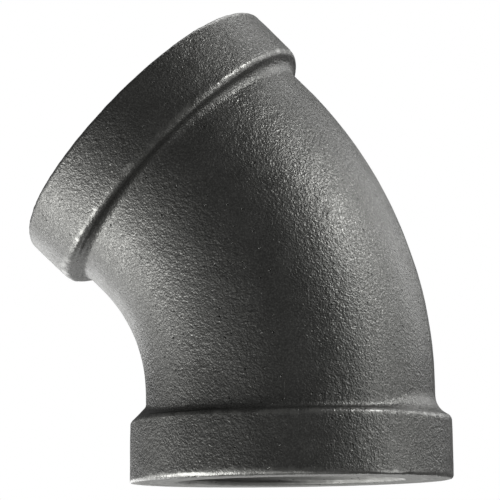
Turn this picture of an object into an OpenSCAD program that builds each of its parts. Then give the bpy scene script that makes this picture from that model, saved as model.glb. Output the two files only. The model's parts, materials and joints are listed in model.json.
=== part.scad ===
// Banded 45 degree pipe elbow in malleable iron, with a tapered female pipe thread at
// each end. It is one casting. The middle of the lower end face is the origin, the
// lower bore runs up +Z, and the upper bore leans over towards -X.

/* [Layout] */
// Distance from the crossing point of the two bore axes to each end face
centre_to_end = 24.9; // [24:0.1:28]
// Angle that the fitting turns the pipe through
turn_angle = 45; // [30:1:60]

/* [Barrel] */
// Outside diameter of the curved barrel
barrel_d = 34.2; // [33:0.1:34.6]
// Straight length of barrel between each band and the curve
barrel_straight = 2.8; // [2:0.1:4]
// Inside diameter of the cored chamber
chamber_d = 27.4; // [26.7:0.1:28.1]

/* [Bands] */
// Outside diameter of a band at its end face
band_face_d = 38.2; // [37.6:0.1:39.5]
// Outside diameter of a band at its shoulder, less by the pattern's draft
band_shoulder_d = 38; // [37.4:0.1:39]
// Width of a band, from the end face to the shoulder
band_width = 7.7; // [7:0.1:9]
// Rounding of the shoulder's outer edge
shoulder_edge_r = 0.9; // [0.3:0.1:1.1]
// Rounding of the end face's outer edge
face_edge_r = 0.6; // [0.2:0.1:1]

/* [Pipe thread] */
// Diameter of the bore that the thread crests leave open
thread_bore_d = 23.7; // [23.4:0.1:24.1]
// Diameter at the thread roots, at the end face
thread_root_d = 26.57; // [26.3:0.01:26.8]
// Distance between neighbouring threads
thread_pitch = 1.814; // [1.8:0.001:1.83]
// Length of the threaded wall, from the end face
thread_length = 12.7; // [12:0.1:13.5]
// Change of the thread's diameter for each millimetre of depth
thread_taper = 0.0625; // [0.05:0.0025:0.07]
// Diameter of the countersunk mouth at the end face
mouth_d = 27; // [26.9:0.1:27.2]
// Depth of the run-out chamfer at the inner end of the thread
run_out = 0.6; // [0.4:0.1:1]

/* [Hidden] */
iron = "#4c4d4b";
// Round surfaces
$fn = 96;
// Overlap that keeps joined and cut solids free of coincident faces
lap = 0.5;
// The barrel's curve runs this far into its straight ends, a hair slimmer than they are
run_in = 0.5;
run_in_relief = 0.01;

barrel_r = barrel_d / 2;
chamber_r = chamber_d / 2;
bore_r = thread_bore_d / 2;
mouth_r = mouth_d / 2;
face_r = band_face_d / 2;
shoulder_r = band_shoulder_d / 2;
half_turn_tan = tan(turn_angle / 2);
// The fillet at the barrel takes up the rest of the shoulder's width
root_fillet_r = shoulder_r - shoulder_edge_r - barrel_r;

// Each end of the barrel is straight, so its curve starts this far from the end face
curve_start = band_width + barrel_straight;
barrel_bend_r = (centre_to_end - curve_start) / half_turn_tan;
// The chamber curves all the way from one thread to the other
chamber_bend_r = (centre_to_end - thread_length) / half_turn_tan;

// Pipe thread form: 60 degree flanks with a narrow flat at the root
flank_half_angle = 30;
root_flat = 0.06;
thread_count = floor(thread_length / thread_pitch);

// Radius at the thread roots at a depth z below the end face
function root_r(z) = (thread_root_d - thread_taper * z) / 2;

// Puts a child drawn for the lower end at the upper end instead
module at_upper_end() {
    translate([0, 0, centre_to_end])
        rotate([0, 180 - turn_angle, 0])
            translate([0, 0, -centre_to_end])
                children();
}

// A round bar of radius r, bent to a radius bend_r between two straight ends, with extra
// length along the curve at each end of the turn
module bend(r, bend_r, extra = 0) {
    extra_angle = extra / bend_r * 180 / PI;
    translate([-bend_r, 0, centre_to_end - bend_r * half_turn_tan])
        rotate([90, 0, 0])
            rotate([0, 0, -extra_angle])
                rotate_extrude(angle = turn_angle + 2 * extra_angle)
                    translate([bend_r, 0])
                        circle(r);
}

// Half section of a band: draft on its side and both outer edges rounded
module band_section() {
    polygon([
        [0, 0],
        [face_r - face_edge_r, 0],
        [face_r, face_edge_r],
        [shoulder_r, band_width - shoulder_edge_r],
        [shoulder_r - shoulder_edge_r, band_width],
        [0, band_width]
    ]);
    translate([face_r - face_edge_r, face_edge_r])
        circle(face_edge_r);
    translate([shoulder_r - shoulder_edge_r, band_width - shoulder_edge_r])
        circle(shoulder_edge_r);
}

// Half section of the fillet that runs from the shoulder up to the barrel
module fillet_section() {
    difference() {
        translate([0, band_width - lap])
            square([barrel_r + root_fillet_r, root_fillet_r + lap]);
        translate([barrel_r + root_fillet_r, band_width + root_fillet_r])
            circle(root_fillet_r);
    }
}

// Solid end of the fitting: the band, its fillet and the straight part of the barrel
module solid_end() {
    rotate_extrude() {
        band_section();
        fillet_section();
        square([barrel_r, curve_start]);
    }
}

// Half section of one thread groove, with its root centred at a depth z
module groove_section(z) {
    inside_r = bore_r - lap;
    opening = root_flat / 2 + (root_r(z) - inside_r) * tan(flank_half_angle);
    polygon([
        [inside_r, z - opening],
        [root_r(z), z - root_flat / 2],
        [root_r(z), z + root_flat / 2],
        [inside_r, z + opening]
    ]);
}

// Metal removed at one end: the bore, its two chamfers and the thread grooves
module tapped_hole() {
    mouth_depth = mouth_r - bore_r;
    translate([0, 0, -lap])
        cylinder(r = bore_r, h = thread_length + 2 * lap);
    translate([0, 0, -lap])
        cylinder(r1 = mouth_r + lap, r2 = bore_r, h = mouth_depth + lap);
    translate([0, 0, thread_length - run_out])
        cylinder(r1 = bore_r, r2 = bore_r + run_out + lap, h = run_out + lap);
    for (i = [0 : thread_count - 1])
        rotate_extrude()
            groove_section((i + 0.5) * thread_pitch);
}

// The whole fitting, which is one casting
module elbow_casting() {
    color(iron)
        difference() {
            union() {
                bend(barrel_r - run_in_relief, barrel_bend_r, run_in);
                solid_end();
                at_upper_end() solid_end();
            }
            bend(chamber_r, chamber_bend_r);
            tapped_hole();
            at_upper_end() tapped_hole();
        }
}

elbow_casting();
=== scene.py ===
import json
import math
from collections import namedtuple

import bpy
import numpy as np
from mathutils import Matrix, Vector, noise


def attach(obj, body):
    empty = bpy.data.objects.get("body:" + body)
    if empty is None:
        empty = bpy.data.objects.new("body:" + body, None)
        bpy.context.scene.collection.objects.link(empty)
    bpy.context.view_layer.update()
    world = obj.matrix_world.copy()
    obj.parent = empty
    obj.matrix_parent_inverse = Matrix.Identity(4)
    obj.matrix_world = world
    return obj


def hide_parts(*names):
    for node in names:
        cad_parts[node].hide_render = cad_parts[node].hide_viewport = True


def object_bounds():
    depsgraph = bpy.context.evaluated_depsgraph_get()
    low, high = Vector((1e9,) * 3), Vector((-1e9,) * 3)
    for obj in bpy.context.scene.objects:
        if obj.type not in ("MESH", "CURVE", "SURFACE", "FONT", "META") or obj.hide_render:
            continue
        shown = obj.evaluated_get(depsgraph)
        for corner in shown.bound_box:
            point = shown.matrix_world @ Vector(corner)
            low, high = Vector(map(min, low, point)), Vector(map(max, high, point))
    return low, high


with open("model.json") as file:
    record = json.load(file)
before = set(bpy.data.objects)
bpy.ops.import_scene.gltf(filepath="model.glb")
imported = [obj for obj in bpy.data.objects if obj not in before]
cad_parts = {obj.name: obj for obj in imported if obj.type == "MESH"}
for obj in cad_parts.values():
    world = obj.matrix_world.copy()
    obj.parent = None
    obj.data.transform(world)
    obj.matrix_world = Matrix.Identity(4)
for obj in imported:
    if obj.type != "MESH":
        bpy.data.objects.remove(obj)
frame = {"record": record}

MM = 0.001
cad_low, cad_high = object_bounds()

# ---------------------------------------------------------------- sizes from the frame
mounts = {m["name"]: m for m in frame["record"]["mounts"]}
upper_axis = Vector(mounts["upper_face"]["axis"]).normalized()
upper_face = Vector(mounts["upper_face"]["pos_m"])
CENTRE_TO_END = upper_face.x / upper_axis.x
TURN = math.acos(upper_axis.z)
CROSSING = Vector((0, 0, CENTRE_TO_END))
BAND_FACE_R = (cad_high.y - cad_low.y) / 2
CREST_R = mounts["lower_thread"]["dims"]["r_mm"] * MM

# ---------------------------------------------------------------- sizes of the casting
BARREL_R = 17.1 * MM
BAND_SHOULDER_R = 19.0 * MM
CURVE_START = 10.5 * MM
# Angle of the rounded rim at which the face cut meets it
RIM_TRIM = math.radians(25)
# The lower end's cut is a little askew: its rim is wider by this much at this angle, and
# by less to both sides, with this power of the cosine
RIM_EXTRA = 0.5 * MM
RIM_EXTRA_AT = math.radians(-102)
RIM_EXTRA_POWER = 4
# The upper shoulder sits this much deeper at the front, and as much less at the back
SHOULDER_ASKEW = 0.25 * MM
CHAMBER_R = 13.7 * MM

# The profile of each band at the heel (outside of the bend), at the throat (inside of the
# bend) and on the flat sides: rounding of the rim at the end face, rounding of the
# shoulder's edge, the shoulder's slope from the end face's plane, its fillet at the
# barrel, and the distance of the slope's middle from the end face. Millimetres and degrees.
PROFILES = {
    "lower": {
        "side": (0.35, 0.6, 3, 0.8, 7.7),
        "heel": (0.6, 0.8, 26, 2.5, 7.6),
        "throat": (0.3, 0.6, 46, 0.7, 8.0),
    },
    "upper": {
        "side": (0.5, 0.8, 7, 1.1, 7.4),
        "heel": (0.8, 0.9, 27, 1.9, 7.35),
        "throat": (0.8, 1.4, 40, 0.8, 7.3),
    },
}
# Cosines of the angles from the heel or the throat where its profile has faded out (42
# degrees) and where it still holds in full (14 degrees)
FADE = (0.74, 0.97)

# ---------------------------------------------------------------- sizes of the pipe thread
# A 3/4-14 taper thread. Its root radius changes by half of the 1 in 16 on the diameter.
THREAD_PITCH = 25.4 / 14 * MM
THREAD_LENGTH = 12.7 * MM
RUN_OUT = 0.6 * MM
ROOT_R_AT_FACE = 13.285 * MM
ROOT_TAPER = 1 / 32
ROOT_HALF_FLAT = 0.03 * MM
FLANK_ANGLE = math.radians(30)
MOUTH_R = 13.5 * MM
# Depth below the end face of the tapped wall's outermost ring
MOUTH_START = 0.12 * MM
# Both threads are right-handed. Depth runs up the centre line at the lower end and down it
# at the upper one, so the helix takes opposite signs.
HANDS = {"lower": 1, "upper": -1}

# ---------------------------------------------------------------- the as-cast surface
# Low swells left by the sand mould: (size, height) of each kind
SWELLS = ((9 * MM, 0.05 * MM), (3 * MM, 0.025 * MM), (1.1 * MM, 0.012 * MM))
# Swells of the cored chamber: (size, height)
CHAMBER_SWELL = (5 * MM, 0.12 * MM)
# The swells and the seam die out over this depth next to the turned face
FACE_HOLD = 1.5 * MM
# Together they stay under this height down to this depth, which keeps the band in its size
BAND_SWELL = 0.08 * MM
BAND_SWELL_DEPTH = 8 * MM
# Ridge left where the two halves of the mould met, in the plane of the bend: how far it
# reaches to each side, its height, and the size of the features that break it up
SEAM_WIDTH = 0.4 * MM
SEAM_HEIGHT = 0.1 * MM
SEAM_BREAKS = 2.5 * MM
# Share of its height that the seam has on average, and the most that breaks change it by
SEAM_SHARE = 0.6
SEAM_SWING = 0.6
# How far the line between cast skin and turned face wanders, over a long and a short run
RAGGED = 0.13 * MM
RAGGED_LONG = 1.6 * MM
RAGGED_SHORT = 0.6 * MM
RAGGED_SHORT_SHARE = 0.7
RAGGED_SEEDS = {"lower": 3.7, "upper": 11.3}
# Wear of each rim and of the shoulders, which also paints a highlight along them, and how far
# it reaches. 0 is none, and the material takes up to 0.6 off in patches.
RIM_WEAR_AND_HIGHLIGHT = {"lower": 1.25, "upper": 0.3}
SHOULDER_WEAR_AND_HIGHLIGHT = 0.8
WEAR_AND_HIGHLIGHT_REACH = 0.35 * MM
# Share of the rim's wear and painted highlight that is lost over its rounding
RIM_WEAR_AND_HIGHLIGHT_LOSS = 0.2
# What is left off the shoulder's wear and painted highlight at the end of its rounding
SHOULDER_WEAR_AND_HIGHLIGHT_LOSS = 0.7
# Blue in iron's grey, as a share of its red and green
IRON_WARMTH = 0.95

# ---------------------------------------------------------------- marks in the materials
# Relief of the cast skin: (size, depth) of each kind
GRAIN = (0.22 * MM, 0.076 * MM)
LUMPS = (0.5 * MM, 0.045 * MM)
MOTTLING = (2.6 * MM, 0.06 * MM)
# Changes of colour in the cast skin
SPECKLE_SIZE = 0.2 * MM
PATCH_SIZE = 9 * MM
WEAR_AND_HIGHLIGHT_PATCH_SIZE = 1.1 * MM
SCUFF_WIDTH = 0.16 * MM
# Spacing of the cells that may hold a pinhole or a pit, the depth of both, and the size
# and reach of what makes their outlines uneven
PINHOLE_SPACING = 1.1 * MM
PIT_SPACING = 3.4 * MM
PIT_DEPTH = 0.10 * MM
WANDER_SIZE = 0.5 * MM
WANDER = 0.2 * MM
# Relief of the turned metal: (size, depth) of the tool's fine marks, its rings, the tears
TOOL_MARKS = (0.16 * MM, 0.02 * MM)
TOOL_RINGS = (0.7 * MM, 0.03 * MM)
TEARS = (0.35 * MM, 0.02 * MM)
STAIN_SIZE = 3.2 * MM
SPECK_SPACING = 0.8 * MM
# Depth below the end face where the painted shade deeper in the bore has come up in full
BORE_SHADE_DEPTH = 0.6 * MM

# ---------------------------------------------------------------- mesh density
SECTORS = 256
# Sectors crowd towards the seam by this share
SEAM_CROWDING = 0.3
FACE_RINGS = 7
RIM_RINGS = 9
BAND_RINGS = 19
EDGE_RINGS = 9
FILLET_RINGS = 8
BARREL_RINGS = 84
RINGS_PER_PITCH = 12
CHAMBER_RINGS = 26
# Gap between the last ring of the thread and the first one of the chamber
CHAMBER_GAP = 0.02 * MM

# ---------------------------------------------------------------- the camera
VIEW_AZIMUTH = math.radians(13.5)
VIEW_ELEVATION = math.radians(-5.3)
VIEW_ROLL = math.radians(-0.8)
VIEW_DISTANCE = 510 * MM
# Middle of the picture, as seen from the crossing of the two bores
AIM = CROSSING + Vector((-4.37, -1.27, 2.53)) * MM
# Lens and sensor in millimetres, as Blender counts them
LENS = 309.9
SENSOR_WIDTH = 36


def direction(azimuth, elevation):
    """Unit vector from the object towards a viewer at this azimuth and elevation."""
    return Vector((
        math.sin(azimuth) * math.cos(elevation),
        -math.cos(azimuth) * math.cos(elevation),
        math.sin(elevation),
    ))


def make_camera():
    """The camera at the photo's angle, distance and lens."""
    data = bpy.data.cameras.new("camera")
    data.lens = LENS
    data.sensor_width = SENSOR_WIDTH
    data.clip_start = 0.01
    data.clip_end = 20
    camera = bpy.data.objects.new("camera", data)
    bpy.context.collection.objects.link(camera)
    back = direction(VIEW_AZIMUTH, VIEW_ELEVATION)
    turn = back.to_track_quat("Z", "Y") @ Matrix.Rotation(VIEW_ROLL, 4, "Z").to_quaternion()
    camera.location = AIM + back * VIEW_DISTANCE
    camera.rotation_mode = "QUATERNION"
    camera.rotation_quaternion = turn
    bpy.context.scene.camera = camera


make_camera()

# ---------------------------------------------------------------- the casting's shape
# Angle round the bore: 0 at the heel of the bend, half a turn at its throat
EVEN_TURN = np.linspace(0, 2 * math.pi, SECTORS, endpoint=False)
PHI = EVEN_TURN - SEAM_CROWDING * np.sin(2 * EVEN_TURN) / 2
# Added to a single number, these give it to every point of a ring
ZEROS = np.zeros_like(PHI)

# One ring of the mesh: its points, the kind of surface, and for each point the wear and painted
# highlight, the depth below the nearer end face and the distance from the centre line
Ring = namedtuple("Ring", "places kind wear depth radius")


def smooth(value, low, high):
    """0 at low, 1 at high, with a smooth step between."""
    step = np.clip((value - low) / (high - low), 0, 1)
    return step * step * (3 - 2 * step)


def path_places(along, radius, curve_start):
    """Points on a ring around the fitting's centre line.

    along is the distance from the lower end face, radius the distance from the centre
    line, and both may change round the ring. curve_start is where the curve begins.
    """
    bend_r = (CENTRE_TO_END - curve_start) / math.tan(TURN / 2)
    along = np.broadcast_to(along, PHI.shape)
    turned = np.clip((along - curve_start) / bend_r, 0, TURN)
    past = np.maximum(along - curve_start - bend_r * TURN, 0)
    before = np.minimum(along, curve_start)
    x = -bend_r + bend_r * np.cos(turned) - past * np.sin(turned)
    z = before + bend_r * np.sin(turned) + past * np.cos(turned)
    reach = radius * np.cos(PHI)
    x = x + reach * np.cos(turned)
    z = z + reach * np.sin(turned)
    return np.stack([x, radius * np.sin(PHI), z], 1)


def path_length(curve_start):
    """Length of the centre line from end face to end face."""
    bend_r = (CENTRE_TO_END - curve_start) / math.tan(TURN / 2)
    return 2 * curve_start + bend_r * TURN


def band_profile(end):
    """The five sizes of PROFILES for one end, each as its value round the band."""
    shape = PROFILES[end]
    heel = smooth(np.cos(PHI), *FADE)
    throat = smooth(-np.cos(PHI), *FADE)
    side = 1 - heel - throat
    rim, edge, slope, fillet, middle = sum(
        np.outer(shape[name], weight)
        for name, weight in (("heel", heel), ("throat", throat), ("side", side))
    )
    rim, middle = rim * MM, middle * MM
    if end == "lower":
        nearness = np.clip(np.cos(PHI - RIM_EXTRA_AT), 0, 1)
        rim = rim + RIM_EXTRA * nearness ** RIM_EXTRA_POWER
    else:
        middle = middle - SHOULDER_ASKEW * np.sin(PHI)
    return rim, edge * MM, np.radians(slope), fillet * MM, middle


def rim_noise(seed, size):
    """Smooth noise from -1 to 1 round the rim, with features of the given size."""
    reach = BAND_FACE_R / size
    places = [(reach * math.cos(angle), reach * math.sin(angle), seed) for angle in PHI]
    return np.array([noise.noise(place) for place in places])


def outer_section(end):
    """Rings of one end from the mouth's edge out over the face, band and shoulder.

    Each is (depth below the end face, radius, kind, wear with its painted highlight), with a
    value for every point of the ring in all but the kind.
    """
    seed = RAGGED_SEEDS[end]
    # The wear values below also carry the painted highlight on the rim and the shoulder's edge
    rim_wear_and_highlight = RIM_WEAR_AND_HIGHLIGHT[end]
    short_run = RAGGED_SHORT_SHARE * rim_noise(seed + 5, RAGGED_SHORT)
    ragged = RAGGED * (rim_noise(seed, RAGGED_LONG) + short_run)
    rim, edge, slope, fillet, middle = band_profile(end)
    rings = []
    face_edge_r = BAND_FACE_R - rim * (1 - math.sin(RIM_TRIM))
    rim_depth = rim * math.cos(RIM_TRIM)
    for step in np.linspace(0, 1, FACE_RINGS):
        out = MOUTH_R + (face_edge_r + ragged - MOUTH_R) * step
        rings.append((ZEROS, out, "cut", ZEROS))
    for step in np.linspace(0, 1, RIM_RINGS)[1:]:
        angle = RIM_TRIM + (math.pi / 2 - RIM_TRIM) * step
        depth = rim_depth - rim * math.cos(angle)
        out = BAND_FACE_R - rim * (1 - math.sin(angle)) + ragged * (1 - step)
        wear = ZEROS + rim_wear_and_highlight * (1 - RIM_WEAR_AND_HIGHLIGHT_LOSS * step)
        rings.append((depth + ZEROS, out, "skin", wear))
    step_width = BAND_SHOULDER_R - BARREL_R
    line = (step_width - (edge + fillet) * (1 - np.sin(slope))) / np.cos(slope)
    edge_start = middle - edge * np.cos(slope) - line * np.sin(slope) / 2
    for step in np.linspace(0, 1, BAND_RINGS)[1:-1]:
        depth = rim_depth + (edge_start - rim_depth) * step
        draft = (BAND_FACE_R - BAND_SHOULDER_R) * (depth - rim_depth) / (edge_start - rim_depth)
        wear = (1 - RIM_WEAR_AND_HIGHLIGHT_LOSS) * rim_wear_and_highlight * np.exp(-(depth - rim_depth) / WEAR_AND_HIGHLIGHT_REACH)
        wear += SHOULDER_WEAR_AND_HIGHLIGHT * np.exp(-(edge_start - depth) / WEAR_AND_HIGHLIGHT_REACH)
        rings.append((depth, BAND_FACE_R - draft, "skin", wear))
    for step in np.linspace(0, 1, EDGE_RINGS):
        angle = (math.pi / 2 - slope) * step
        depth = edge_start + edge * np.sin(angle)
        wear = ZEROS + SHOULDER_WEAR_AND_HIGHLIGHT - SHOULDER_WEAR_AND_HIGHLIGHT_LOSS * step ** 2
        rings.append((depth, BAND_SHOULDER_R - edge * (1 - np.cos(angle)), "skin", wear))
    edge_end, edge_end_r = rings[-1][:2]
    for step in (1 / 3, 2 / 3):
        along_line = line * step
        out = edge_end_r - along_line * np.cos(slope)
        rings.append((edge_end + along_line * np.sin(slope), out, "skin", ZEROS))
    fillet_end = edge_start + (edge + fillet) * np.cos(slope) + line * np.sin(slope)
    for step in np.linspace(1, 0, FILLET_RINGS):
        angle = (math.pi / 2 - slope) * step
        out = BARREL_R + fillet * (1 - np.cos(angle))
        rings.append((fillet_end - fillet * np.sin(angle), out, "skin", ZEROS - step))
    for step in (0.25, 0.5, 0.75):
        depth = fillet_end + (CURVE_START - fillet_end) * step
        rings.append((depth, BARREL_R + ZEROS, "skin", ZEROS))
    return rings


def thread_radius(depth, hand):
    """Radius of the tapped wall, a 60 degree V that winds with the angle round the bore."""
    turns = depth / THREAD_PITCH - hand * PHI / (2 * math.pi)
    from_root = np.abs(turns - np.round(turns)) * THREAD_PITCH
    root = ROOT_R_AT_FACE - ROOT_TAPER * depth
    flank = np.maximum(from_root - ROOT_HALF_FLAT, 0) / math.tan(FLANK_ANGLE)
    return np.maximum(root - flank, CREST_R)


def inner_section(end):
    """Rings of one end from the chamber out through the thread to the mouth's edge.

    Each is as in outer_section.
    """
    rings = []
    count = int(round(THREAD_LENGTH / THREAD_PITCH * RINGS_PER_PITCH))
    for depth in np.linspace(THREAD_LENGTH, MOUTH_START, count):
        mouth = MOUTH_R - depth
        exit_cone = CREST_R + RUN_OUT - (THREAD_LENGTH - depth)
        wall = np.maximum(thread_radius(depth, HANDS[end]), np.maximum(mouth, exit_cone))
        rings.append((depth + ZEROS, wall, "thread", ZEROS))
    return rings


def build_rings():
    """Every Ring of the closed surface, in order.

    They run outside from the lower mouth to the upper one, and back down inside.
    """
    outer_length = path_length(CURVE_START)
    inner_length = path_length(THREAD_LENGTH)
    rings = []

    def add(along, radius, curve_start, kind, wear):
        places = path_places(along, radius, curve_start)
        depth = np.minimum(along, path_length(curve_start) - along)
        rings.append(Ring(places, kind, wear + ZEROS, depth + ZEROS, radius + ZEROS))

    for depth, radius, kind, wear in outer_section("lower"):
        add(depth, radius, CURVE_START, kind, wear)
    for along in np.linspace(CURVE_START, outer_length - CURVE_START, BARREL_RINGS):
        add(along, BARREL_R, CURVE_START, "skin", ZEROS)
    for depth, radius, kind, wear in reversed(outer_section("upper")):
        add(outer_length - depth, radius, CURVE_START, kind, wear)
    for depth, radius, kind, wear in reversed(inner_section("upper")):
        add(inner_length - depth, radius, THREAD_LENGTH, kind, wear)
    chamber_start = THREAD_LENGTH + CHAMBER_GAP
    for along in np.linspace(inner_length - chamber_start, chamber_start, CHAMBER_RINGS):
        add(along, CHAMBER_R, THREAD_LENGTH, "chamber", ZEROS)
    for depth, radius, kind, wear in inner_section("lower"):
        add(depth, radius, THREAD_LENGTH, kind, wear)
    return rings


def swell(place):
    """Height of the mould's unevenness at a point of the cast skin."""
    return sum(height * noise.noise(place / size) for size, height in SWELLS)


def seam_height(ring):
    """Height of the mould seam round a ring: a low ridge at the heel and the throat."""
    if ring.kind != "skin":
        return ZEROS
    aside = np.abs(np.sin(PHI)) * ring.radius
    strength = SEAM_SHARE + SEAM_SWING * noise.noise(Vector(ring.places[0]) / SEAM_BREAKS)
    return SEAM_HEIGHT * strength * np.exp(-(aside / SEAM_WIDTH) ** 2)


def roughen(places, normals, rings):
    """The places, moved on the skin and in the chamber as the sand mould and core do it."""
    kind_of = np.array([ring.kind for ring in rings]).repeat(SECTORS)
    depth = np.concatenate([ring.depth for ring in rings])
    skin = kind_of == "skin"
    chamber = kind_of == "chamber"
    hold = np.clip(depth / FACE_HOLD, 0, 1)
    move = np.zeros(len(places))
    points = [Vector(place) for place in places]
    move[skin] = [swell(points[i]) for i in np.flatnonzero(skin)]
    move[skin] *= hold[skin]
    move += np.concatenate([seam_height(ring) for ring in rings]) * hold
    size, height = CHAMBER_SWELL
    move[chamber] = [height * noise.noise(points[i] / size) for i in np.flatnonzero(chamber)]
    on_band = skin & (depth < BAND_SWELL_DEPTH)
    move = np.where(on_band, np.minimum(move, BAND_SWELL), move)
    return places + normals * move[:, None]


def make_casting():
    """The whole fitting as one closed mesh, with what its materials read at each point."""
    rings = build_rings()
    count = len(rings)
    places = np.concatenate([ring.places for ring in rings])
    ring, sector = np.meshgrid(np.arange(count), np.arange(SECTORS), indexing="ij")
    next_ring = (ring + 1) % count
    next_sector = (sector + 1) % SECTORS
    quads = np.stack([
        ring * SECTORS + sector,
        ring * SECTORS + next_sector,
        next_ring * SECTORS + next_sector,
        next_ring * SECTORS + sector,
    ], -1).reshape(-1, 4)
    mesh = bpy.data.meshes.new("elbow_casting_body")
    mesh.from_pydata(places.tolist(), [], quads.tolist())
    mesh.update()
    normals = np.empty(len(places) * 3)
    mesh.vertex_normals.foreach_get("vector", normals)
    places = roughen(places, normals.reshape(-1, 3), rings)
    mesh.vertices.foreach_set("co", places.ravel())
    mesh.update()
    mesh.shade_smooth()
    for name in ("wear", "depth", "radius"):
        values = np.concatenate([getattr(ring, name) for ring in rings])
        mesh.attributes.new(name, "FLOAT", "POINT").data.foreach_set("value", values)
    # A face takes the turned metal where both of the rings at its edges are turned
    turned_ring = np.isin([ring.kind for ring in rings], ("cut", "thread"))
    turned_face = (turned_ring & np.roll(turned_ring, -1)).repeat(SECTORS)
    mesh.polygons.foreach_set("material_index", turned_face.astype(np.int32))
    piece = bpy.data.objects.new("elbow_casting_body", mesh)
    bpy.context.collection.objects.link(piece)
    return piece


casting = make_casting()


# ---------------------------------------------------------------- materials
class Nodes:
    """A material's node tree, with a short call for each node that the materials use."""

    def __init__(self, name):
        self.material = bpy.data.materials.new(name)
        self.material.use_nodes = True
        self.tree = self.material.node_tree
        self.tree.nodes.clear()
        self.place = self.add("TexCoord").outputs["Object"]

    def add(self, kind, inputs=None, **settings):
        """Makes a node with these links or values in its sockets, and these settings."""
        made = self.tree.nodes.new("ShaderNode" + kind)
        for key, value in settings.items():
            setattr(made, key, value)
        for socket, value in (inputs or {}).items():
            if isinstance(value, bpy.types.NodeSocket):
                self.tree.links.new(value, made.inputs[socket])
            else:
                made.inputs[socket].default_value = value
        return made

    def noise(self, size, detail=2.0, roughness=0.5, place=None):
        """Smooth noise from 0 to 1 with features of this size."""
        inputs = {"Vector": place or self.place, "Scale": 1 / size}
        inputs.update({"Detail": detail, "Roughness": roughness})
        return self.add("TexNoise", inputs).outputs["Fac"]

    def cells(self, size, output="Distance", place=None):
        """Distance to the middle of the nearest of many cells, in cells of this size."""
        inputs = {"Vector": place or self.place, "Scale": 1 / size}
        return self.add("TexVoronoi", inputs).outputs[output]

    def wandering(self, size, reach):
        """The place, moved about by up to reach over features of this size."""
        uneven = self.add("TexNoise", {"Vector": self.place, "Scale": 1 / size, "Detail": 1.0})
        inputs = {0: uneven.outputs["Color"], 1: (reach, reach, reach)}
        moved = self.add("VectorMath", inputs, operation="MULTIPLY").outputs[0]
        return self.add("VectorMath", {0: self.place, 1: moved}, operation="ADD").outputs[0]

    def dots(self, spacing, place, inner, outer, rare):
        """1 inside dots in some of the cells, which are fewer as rare grows to 0.6.

        A dot is full inside inner and gone at outer, as shares of the spacing.
        """
        dot = self.spread(self.cells(spacing, place=place), inner, outer, 1, 0)
        chosen = self.spread(self.cells(spacing, "Color", place=place), rare, 0.6)
        return self.product(dot, chosen)

    def attribute(self, name):
        """A value that make_casting keeps at each point."""
        return self.add("Attribute", attribute_name=name).outputs["Fac"]

    def sum(self, first, second):
        return self.add("Math", {0: first, 1: second}, operation="ADD").outputs[0]

    def product(self, first, second):
        return self.add("Math", {0: first, 1: second}, operation="MULTIPLY").outputs[0]

    def spread(self, value, low, high, to_low=0.0, to_high=1.0):
        """Takes low..high smoothly to to_low..to_high, and holds beyond them."""
        inputs = {"Value": value, "From Min": low, "From Max": high}
        inputs.update({"To Min": to_low, "To Max": to_high})
        return self.add("MapRange", inputs, interpolation_type="SMOOTHSTEP").outputs["Result"]

    def blend(self, factor, first, second):
        """Colour that goes from first to second as factor goes from 0 to 1."""
        made = self.add("Mix", {"Factor": factor}, data_type="RGBA")
        colours = [socket for socket in made.inputs if socket.type == "RGBA"]
        for socket, value in zip(colours, (first, second)):
            if isinstance(value, bpy.types.NodeSocket):
                self.tree.links.new(value, socket)
            else:
                socket.default_value = (*value, 1)
        return next(socket for socket in made.outputs if socket.type == "RGBA")

    def bump(self, height, depth, strength=1.0, under=None):
        """Normal of a surface whose height goes over 0..1 in the given depth."""
        inputs = {"Height": height, "Distance": depth, "Strength": strength}
        if under:
            inputs["Normal"] = under
        return self.add("Bump", inputs).outputs["Normal"]

    def finish(self, **inputs):
        """The material, its surface's inputs named with _ for a space."""
        named = {key.replace("_", " "): value for key, value in inputs.items()}
        shader = self.add("BsdfPrincipled", named)
        self.add("OutputMaterial", {"Surface": shader.outputs["BSDF"]})
        return self.material


def grey(value):
    """Linear colour of iron at this brightness, a hair warmer than neutral."""
    return (value, value, IRON_WARMTH * value)


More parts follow.
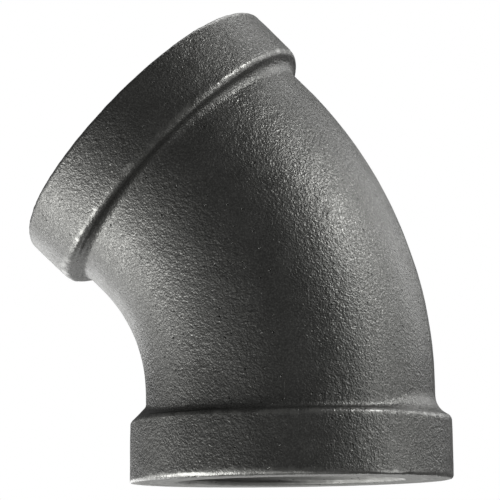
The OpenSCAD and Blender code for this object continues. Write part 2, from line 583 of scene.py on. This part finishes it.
def as_cast_iron():
    """Tumbled black iron skin: sand grain, mottling, pits darkened as painted shade, and edges
    worn bright, partly a painted highlight.
    """
    n = Nodes("as_cast_iron")
    grain = n.noise(GRAIN[0], detail=1)
    lumps = n.noise(LUMPS[0], detail=0)
    speckle = n.noise(SPECKLE_SIZE, detail=1)
    mottling = n.noise(MOTTLING[0], detail=3, roughness=0.55)
    patches = n.noise(PATCH_SIZE, detail=2)
    place = n.wandering(WANDER_SIZE, WANDER)
    pinhole_with_painted_shade = n.dots(PINHOLE_SPACING, place, 0.06, 0.15, rare=0.55)
    pit_with_painted_shade = n.dots(PIT_SPACING, place, 0.03, 0.08, rare=0.5)
    pit_with_painted_shade = n.add("Math", {0: pit_with_painted_shade, 1: pinhole_with_painted_shade}, operation="MAXIMUM").outputs[0]
    patchy = n.spread(n.noise(WEAR_AND_HIGHLIGHT_PATCH_SIZE, detail=4), 0.3, 0.7, -0.6, 0.1)
    wear = n.spread(n.sum(n.attribute("wear"), patchy), 0.1, 1)
    # Scuffs are noise drawn out 20 times along a slanting axis
    drawn_out = {"Vector": place, "Rotation": (0.5, 0.3, 0.25), "Scale": (1, 1, 0.05)}
    scuff_place = n.add("Mapping", drawn_out).outputs[0]
    scuff = n.spread(n.noise(SCUFF_WIDTH, detail=1, place=scuff_place), 0.76, 0.80)
    skin = n.blend(mottling, grey(0.085), grey(0.118))
    skin = n.blend(n.spread(patches, 0.35, 0.65), skin, grey(0.105))
    skin = n.blend(n.spread(speckle, 0.5, 0.75, 0, 0.42), skin, grey(0.26))
    skin = n.blend(n.spread(speckle, 0.25, 0.5, 0.42, 0), skin, grey(0.035))
    # Pits and pinholes are darkened towards black: painted shade in the holes
    skin = n.blend(n.product(pit_with_painted_shade, 0.75), skin, grey(0.02))
    # Worn rims and shoulder edges turn a lighter grey: partly real wear, partly a painted
    # highlight along the edges
    skin = n.blend(n.product(wear, 0.55), skin, grey(0.30))
    skin = n.blend(n.product(scuff, 0.6), skin, grey(0.36))
    rough = n.spread(mottling, 0.3, 0.7, 0.37, 0.45)
    rough = n.sum(rough, n.product(wear, -0.08))
    rough = n.sum(rough, n.spread(speckle, 0.5, 0.75, 0, -0.08))
    normal = n.bump(mottling, MOTTLING[1])
    normal = n.bump(lumps, LUMPS[1], under=normal)
    # Wear has flattened the grain
    normal = n.bump(grain, GRAIN[1], n.spread(wear, 0, 1, 1, 0.4), under=normal)
    normal = n.bump(n.spread(pit_with_painted_shade, 0, 1, 1, 0), PIT_DEPTH, under=normal)
    return n.finish(Base_Color=skin, Metallic=0.8, Roughness=rough, Normal=normal)


def turned_iron():
    """Cut iron on the end faces, chamfers and threads, with the tool's marks, stains, and
    painted shade that darkens it deeper in the bore.
    """
    n = Nodes("turned_iron")
    axes = {"X": n.attribute("radius"), "Y": n.attribute("depth"), "Z": 0.0}
    across = n.add("CombineXYZ", axes).outputs["Vector"]
    marks = n.noise(TOOL_MARKS[0], detail=2, place=across)
    rings = n.noise(TOOL_RINGS[0], detail=2, place=across)
    # Painted shade: the cut metal darkens with depth below the end face, into the bore, on top
    # of the real stains
    bore_shade = n.spread(n.attribute("depth"), 0, BORE_SHADE_DEPTH, 0, 0.2)
    stain_and_bore_shade = n.sum(n.noise(STAIN_SIZE, detail=4, roughness=0.6), bore_shade)
    specks = n.spread(n.cells(SPECK_SPACING), 0.10, 0.2, 1, 0)
    metal = n.blend(n.spread(rings, 0.35, 0.65), grey(0.17), grey(0.30))
    metal = n.blend(n.spread(stain_and_bore_shade, 0.45, 0.7, 0, 0.5), metal, grey(0.11))
    metal = n.blend(n.product(specks, 0.6), metal, grey(0.03))
    rough = n.spread(stain_and_bore_shade, 0.35, 0.7, 0.44, 0.6)
    normal = n.bump(rings, TOOL_RINGS[1])
    normal = n.bump(marks, TOOL_MARKS[1], under=normal)
    normal = n.bump(n.noise(TEARS[0], detail=2), TEARS[1], under=normal)
    return n.finish(Base_Color=metal, Metallic=0.9, Roughness=rough, Normal=normal)


casting.data.materials.append(as_cast_iron())
casting.data.materials.append(turned_iron())


# ---------------------------------------------------------------- the studio
# Softboxes round the fitting: azimuth and elevation in degrees as for a viewer, distance
# and width in metres, power in watts
SOFTBOXES = {
    "left_low": (285, -42, 0.6, 0.50, 4.0),
    "left": (265, -15, 0.6, 0.45, 0.8),
    "front_left": (325, -20, 0.6, 0.45, 0.32),
    "front_low": (0, -60, 0.6, 0.40, 0.4),
    "right_high": (88, 34, 0.6, 0.24, 2.0),
    "right": (90, 0, 0.6, 0.35, 0.7),
    "right_behind": (140, 22, 0.6, 0.40, 1.1),
    "left_behind": (220, -20, 0.6, 0.40, 1.0),
    "behind_low": (180, -42, 0.6, 0.35, 0.5),
    "above": (180, 58, 0.6, 0.40, 1.8),
}
# Light from everywhere else, against the white of the backdrop
AMBIENT = 0.13
# The floor is below the camera, which looks up at the fitting, and glows a little so that
# it is pale beyond the softboxes too
FLOOR_LEVEL = -30 * MM
FLOOR_HALF = 3
FLOOR_GREY = 0.15
FLOOR_GLOW = 0.8


def make_softboxes():
    """Round area lamps that face AIM and can't be seen themselves."""
    for name, (azimuth, elevation, distance, width, power) in SOFTBOXES.items():
        data = bpy.data.lights.new(name, "AREA")
        data.shape = "DISK"
        data.size = width
        data.energy = power
        lamp = bpy.data.objects.new(name, data)
        bpy.context.collection.objects.link(lamp)
        towards = direction(math.radians(azimuth), math.radians(elevation))
        lamp.location = AIM + towards * distance
        lamp.rotation_mode = "QUATERNION"
        lamp.rotation_quaternion = towards.to_track_quat("Z", "Y")
        lamp.visible_camera = False


def make_world():
    """A white backdrop for the camera, and a dim even light for everything else."""
    world = bpy.data.worlds.new("studio")
    bpy.context.scene.world = world
    world.use_nodes = True
    tree = world.node_tree
    tree.nodes.clear()
    dim = tree.nodes.new("ShaderNodeBackground")
    dim.inputs["Color"].default_value = (1, 1, 1, 1)
    dim.inputs["Strength"].default_value = AMBIENT
    white = tree.nodes.new("ShaderNodeBackground")
    white.inputs["Color"].default_value = (1, 1, 1, 1)
    chosen = tree.nodes.new("ShaderNodeMixShader")
    ray = tree.nodes.new("ShaderNodeLightPath")
    output = tree.nodes.new("ShaderNodeOutputWorld")
    tree.links.new(ray.outputs["Is Camera Ray"], chosen.inputs[0])
    tree.links.new(dim.outputs[0], chosen.inputs[1])
    tree.links.new(white.outputs[0], chosen.inputs[2])
    tree.links.new(chosen.outputs[0], output.inputs["Surface"])
    bpy.context.scene.view_settings.view_transform = "Standard"


def make_floor():
    """A plain pale floor under the fitting."""
    half = FLOOR_HALF
    corners = [(-half, -half), (half, -half), (half, half), (-half, half)]
    mesh = bpy.data.meshes.new("floor")
    mesh.from_pydata([(x, y, FLOOR_LEVEL) for x, y in corners], [], [(0, 1, 2, 3)])
    floor = bpy.data.objects.new("floor", mesh)
    bpy.context.collection.objects.link(floor)
    paint = bpy.data.materials.new("floor")
    paint.use_nodes = True
    shader = paint.node_tree.nodes["Principled BSDF"]
    shader.inputs["Base Color"].default_value = (FLOOR_GREY, FLOOR_GREY, FLOOR_GREY, 1)
    shader.inputs["Roughness"].default_value = 0.9
    shader.inputs["Emission Color"].default_value = (1, 1, 1, 1)
    shader.inputs["Emission Strength"].default_value = FLOOR_GLOW
    mesh.materials.append(paint)
    # The low softboxes shine through the floor, and the iron doesn't mirror it
    floor.visible_shadow = False
    floor.visible_diffuse = False
    floor.visible_glossy = False


make_softboxes()
make_world()
make_floor()

# ---------------------------------------------------------------- hand over to the frame
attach(casting, "root")
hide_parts("elbow_casting")
